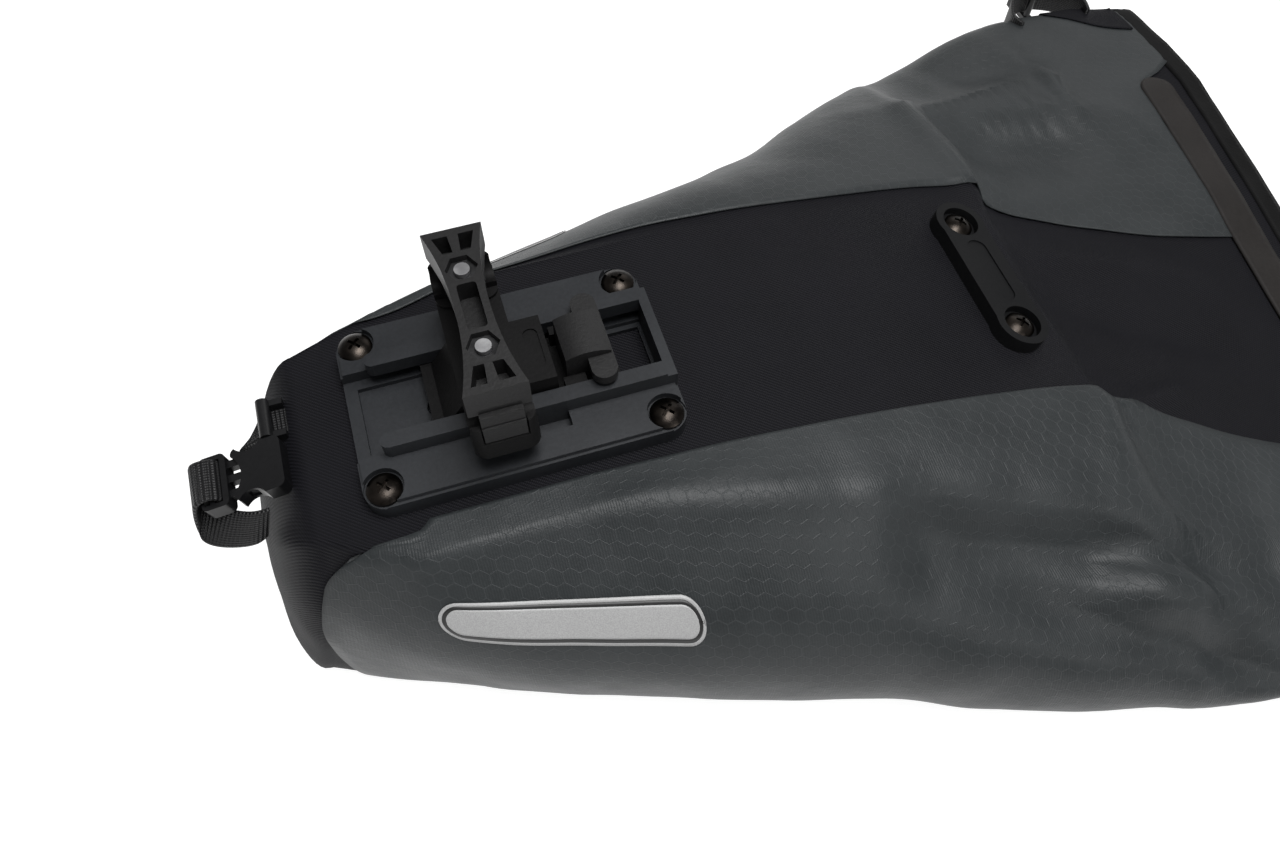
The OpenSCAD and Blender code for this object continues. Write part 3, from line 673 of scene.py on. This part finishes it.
def ribbon(name, path, across, wide, thick, mat):
    """Webbing: path is a list of points in mm, across the direction of its width, either one
    for all or one for each point."""
    q = curve(path, 8)
    across = np.array(across, float)
    across = np.tile(across, (len(q), 1)) if across.ndim == 1 else curve(across, 8)
    across /= np.linalg.norm(across, axis=1, keepdims=True)
    tan = np.gradient(q, axis=0)
    tan /= np.linalg.norm(tan, axis=1, keepdims=True)
    nor = np.cross(tan, across)
    nor /= np.linalg.norm(nor, axis=1, keepdims=True)
    length = np.concatenate([[0], np.cumsum(np.linalg.norm(np.diff(q, axis=0), axis=1))])
    # outline of the section: flat with rounded edges
    outline = []
    h, w = thick / 2, wide / 2
    for a in np.linspace(-90, 90, 5):
        outline.append((w - h + h * math.cos(math.radians(a)), h * math.sin(math.radians(a))))
    for k in range(1, 6):
        outline.append(((w - h) * (1 - k / 3), h))
    for a in np.linspace(90, 270, 5):
        outline.append((-(w - h) + h * math.cos(math.radians(a)), h * math.sin(math.radians(a))))
    for k in range(1, 6):
        outline.append((-(w - h) * (1 - k / 3), -h))
    outline = np.array(outline)
    cols = len(outline)
    p = (q[:, None, :] + outline[None, :, 0, None] * across[:, None, :]
         + outline[None, :, 1, None] * nor[:, None, :])
    flat = np.stack([np.repeat(length[:, None], cols, 1), np.repeat(outline[None, :, 0], len(q), 0),
                     np.zeros((len(q), cols))], -1)
    ob = grid_mesh(name, p, flat, close=True)
    bm = bmesh.new()
    bm.from_mesh(ob.data)
    bmesh.ops.holes_fill(bm, edges=[e for e in bm.edges if e.is_boundary], sides=0)
    bmesh.ops.recalc_face_normals(bm, faces=bm.faces)
    bm.to_mesh(ob.data)
    bm.free()
    smooth_all(ob.data)
    paint(ob, mat)
    return ob


def badge(name, side, m0, m1, s_mid, s_half, lift, mat, inset=0.0):
    """Pill-shaped patch on the side panel. s_mid and s_half are in s, the rest in mm."""
    rows, cols = 48, 14
    t = 0.5 - 0.5 * np.cos(np.linspace(0, np.pi, rows))
    v = np.linspace(-1, 1, cols)
    T, V = np.meshgrid(t, v, indexing="ij")
    length = m1 - m0 - 2 * inset
    x = (T - 0.5) * length
    r = s_half * MM_PER_S - inset
    over = np.maximum(np.abs(x) - (length / 2 - r), 0)
    half = np.sqrt(np.maximum(r * r - over * over, 0)) / MM_PER_S
    m = 0.5 * (m0 + m1) + x
    s = s_mid + 0.04 * (T - 0.5) + V * half * (1.1 - 0.2 * T)
    p, flat = skin_points(m, side * s, lift=lift)
    ob = grid_mesh(name, p, flat)
    bm = bmesh.new()
    bm.from_mesh(ob.data)
    bmesh.ops.remove_doubles(bm, verts=bm.verts, dist=1e-5)
    bm.to_mesh(ob.data)
    bm.free()
    outward(ob, (0, 0, 34))
    thicken(ob, 0.25)
    paint(ob, mat)
    return ob


def cover_bag(mats):
    """Fabric shell, grey panels and hem."""
    pieces = build_fabric(mats)
    shell_ob = pieces["shell"]
    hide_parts("nose_panel", "top_panel", "bottom_panel", "closure_upper",
                "closure_lower")
    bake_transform(shell_ob)
    for name in ("side_panel_right", "side_panel_left"):
        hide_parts(name)
        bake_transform(pieces[name])
    hem = ring_band("mouth_hem_tape", 297.0, 305.3, 0.55, 2.2, mats["hem"], crown=0.35)
    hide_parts("mouth_hem")
    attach(hem, "closure")


def add_stiffener():
    """Strip on the upper side of the mouth."""
    strip_mat = plastic("stiffener_strip_mat", (0.0125, 0.0112, 0.0106), (0.021, 0.0188, 0.0178),
                        0.46, 0.00005, 700, spec=0.16)
    at, half_long, half_wide = 285.0, 97, 6.9
    yy = half_long * np.sin(np.linspace(-np.pi / 2, np.pi / 2, 90))
    Y, W = np.meshgrid(yy, np.linspace(-1, 1, 8), indexing="ij")
    over = np.maximum(np.abs(Y) - (half_long - half_wide), 0)
    m = at + W * np.sqrt(np.maximum(half_wide ** 2 - over ** 2, 0))
    # find s for a given y by sampling the section
    ssamp = np.linspace(0, 1.5, 200)
    ysamp = shell(np.full(200, at), ssamp)[:, 1]
    s = np.sign(Y) * np.interp(np.abs(Y), ysamp, ssamp)
    p, flat = skin_points(m, s, lift=1.1)
    strip = grid_mesh("stiffener", p, flat)
    outward(strip, (289, 0, 20))
    thicken(strip, 1.0)
    paint(strip, strip_mat)
    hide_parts("stiffener_strip")
    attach(strip, "closure")


def add_corners(mats):
    """Patches and webbing loops at the corners of the mouth."""
    for side, tag in ((1, "right"), (-1, "left")):
        patch = ring_band("corner_patch_" + tag + "_skin", 266.0, 297.0, 1.5, 0.6, mats["black"],
                          s_lo=side * 1.32, s_hi=side * 1.74, closed=False, rows=22, cols=40,
                          cut=0.55)
        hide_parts("corner_patch_" + tag)
        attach(patch, "closure")
        z = 29.25
        loop = ribbon("corner_loop_" + tag + "_webbing",
                      [(252.5, side * 143.5, z), (251.5, side * 150, z), (256, side * 158.5, z),
                       (263, side * 162.9, z), (268, side * 163.9, z), (273, side * 162.9, z),
                       (280, side * 158.5, z), (284.5, side * 150, z), (283.5, side * 143.5, z)],
                      (0, 0, 1), 12.5, 1.5, mats["web"])
        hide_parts("corner_loop_" + tag)
        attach(loop, "closure")


def add_badges():
    """Blank pill badges on both sides, each of three thin layers."""
    silver = badge_mat("badge_silver", 0.34, 0.35)
    ink = badge_mat("badge_ink", 0.012, 0.4)
    layers = (("border", 1.15, silver, 0.0), ("ink", 1.25, ink, 0.8), ("panel", 1.35, silver, 1.7))
    made = []
    for side, tag in ((1, "right"), (-1, "left")):
        for part, lift, mat, inset in layers:
            made.append(badge("badge_" + tag + "_" + part, side, -33, 33, 1.25, 0.066, lift, mat,
                              inset))
    for ob in made:
        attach(ob, "bag")
    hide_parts("side_badges")


def add_nose_webbing(mats):
    """The strap in the male half, and the tab that holds the female half. Each row is a point
    of the middle line and the direction of the width."""
    rows = [((-79.7, -4.2, 75), (0, 1, 0)), ((-79.9, -4.2, 78.6), (0, 1, 0)),
            ((-80.4, -4.2, 81.2), (0, 1, 0)), ((-82.9, -4.2, 82.5), (0, 1, 0)),
            ((-86.4, -4.2, 80.9), (0, 1, 0.1)),
            ((-87.8, -5.4, 75.8), (0.15, 1, 0.35)), ((-87, -9, 72.2), (0.4, 0.75, 0.6)),
            ((-83, -12.6, 70.8), (0.5, 0.45, 0.75)), ((-78, -14.9, 71), (0.42, 0.33, 0.85)),
            ((-73.9, -15.8, 71.6), (0.36, 0.25, 0.9)), ((-71, -15.2, 72), (0.34, 0.1, 0.93))]
    strap = ribbon("nose_strap_webbing", [r[0] for r in rows], [r[1] for r in rows], 12.5, 1.4,
                   mats["web"])
    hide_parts("nose_strap")
    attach(strap, "strap_end")
    rows = [((-60.5, 10.1, 79.4), (0, 1, 0)), ((-65.5, 10.1, 79.4), (0, 1, 0)),
            ((-68.4, 9.6, 79.3), (0.2, 0.98, 0)), ((-70.6, 7.4, 79.2), (0.7, 0.7, 0)),
            ((-70, 3.9, 79.4), (0.99, 0, 0.08))]
    tab = ribbon("nose_tab_webbing", [r[0] for r in rows], [r[1] for r in rows], 8, 1.1,
                 mats["web"])
    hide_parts("nose_tab")
    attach(tab, "bag")


def dress_hard_parts():
    """The hard parts keep their CAD shape, with soft edges and materials."""
    plate = plastic("plate_plastic_mat", (0.0118, 0.0128, 0.0148), (0.0215, 0.0232, 0.0262), 0.40,
                    0.00005)
    bar = plastic("bar_plastic_mat", (0.0040, 0.0042, 0.0048), (0.0075, 0.0076, 0.0080), 0.52,
                  0.00005, spec=0.12)
    adapter = plastic("adapter_plastic_mat", (0.0026, 0.0025, 0.0026), (0.0062, 0.0060, 0.0062),
                      0.54, 0.00012, 1100, spec=0.12)
    arm = plastic("arm_plastic_mat", (0.0055, 0.0054, 0.0056), (0.0135, 0.0132, 0.0136), 0.46,
                  0.00012, 1100)
    buckle = plastic("buckle_plastic_mat", (0.004, 0.004, 0.0044), (0.008, 0.008, 0.0088), 0.30,
                     0.00003)
    board = plastic("board_mat", (0.018, 0.018, 0.019), (0.024, 0.024, 0.025), 0.6, 0.00004)
    screw = metal("black_screw_mat", (0.012, 0.0105, 0.0095), (0.042, 0.035, 0.030), 0.32)
    zinc = metal("zinc_mat", (0.42, 0.42, 0.43), (0.56, 0.56, 0.57), 0.34)
    bolt = metal("bolt_mat", (0.42, 0.42, 0.43), (0.6, 0.6, 0.61), 0.34)
    dark_nut = metal("dark_nut_mat", (0.03, 0.03, 0.031), (0.07, 0.07, 0.072), 0.4)
    hard = {"mount_plate": plate, "anchor_bar": bar, "adapter_body": adapter,
            "clamp_bone": arm, "release_latch": arm, "top_board": board,
            "plate_screws": screw, "anchor_screws": screw, "plate_nuts": zinc,
            "anchor_nuts": zinc, "clamp_nuts": dark_nut, "latch_pin": zinc, "latch_spring": zinc,
            "clamp_bolt_left": bolt, "clamp_bolt_right": bolt, "nose_keeper": buckle,
            "buckle_female": buckle, "buckle_male": buckle, "closure_buckle_male": buckle,
            "closure_buckle_female": buckle}
    widths = {"mount_plate": 0.45, "adapter_body": 0.4, "clamp_bone": 0.5, "release_latch": 0.5,
              "anchor_bar": 0.5, "buckle_female": 0.4, "buckle_male": 0.3,
              "closure_buckle_male": 0.35, "closure_buckle_female": 0.4, "nose_keeper": 0.3}
    for name, mat in hard.items():
        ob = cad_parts[name]
        paint(ob, mat)
        smooth_all(ob.data)
        if name in widths:
            d = ob.modifiers.new("flat", "DECIMATE")
            d.decimate_type = "DISSOLVE"
            d.angle_limit = math.radians(1.5)
            b = ob.modifiers.new("edge", "BEVEL")
            b.width = widths[name] * MM
            b.segments = 2
            b.limit_method = "ANGLE"
            b.angle_limit = math.radians(38)
        wn = ob.modifiers.new("wn", "WEIGHTED_NORMAL")
        wn.keep_sharp = True
        ob.data.set_sharp_from_angle(angle=math.radians(35))


def build_stage():
    """White floor, soft surroundings and three soft lights."""
    me = bpy.data.meshes.new("floor")
    me.from_pydata([(-3, -3, -0.0004), (3, -3, -0.0004), (3, 3, -0.0004), (-3, 3, -0.0004)], [],
                   [(0, 1, 2, 3)])
    floor = link(me, "floor")
    paint(floor, floor_mat())
    world = bpy.data.worlds.new("studio")
    scene.world = world
    world.use_nodes = True
    bg = world.node_tree.nodes["Background"]
    bg.inputs[0].default_value = (1, 1, 1, 1)
    bg.inputs[1].default_value = 0.25

    def area(name, at, target, size, power):
        li = bpy.data.lights.new(name, "AREA")
        li.shape = "RECTANGLE"
        li.size, li.size_y = size
        li.energy = power
        ob = bpy.data.objects.new(name, li)
        scene.collection.objects.link(ob)
        ob.location = at
        ob.rotation_euler = (Vector(target) - Vector(at)).to_track_quat("-Z", "Y").to_euler()

    area("key", (0.2, -0.1, 1.25), (0.08, 0, 0.04), (0.7, 0.5), 17)
    area("fill", (0.8, 0.9, 0.7), (0.1, 0, 0.04), (0.6, 0.6), 1.5)
    area("front", (0.56, -0.9, 0.77), (0.12, -0.06, 0.06), (0.5, 0.3), 2.2)


def main():
    make_camera()
    mats = {"black": fabric_black(), "grey": fabric_grey(), "hem": fabric_hem(),
            "web": webbing_mat()}
    cover_bag(mats)
    add_stiffener()
    add_corners(mats)
    add_badges()
    add_nose_webbing(mats)
    dress_hard_parts()
    build_stage()


main()
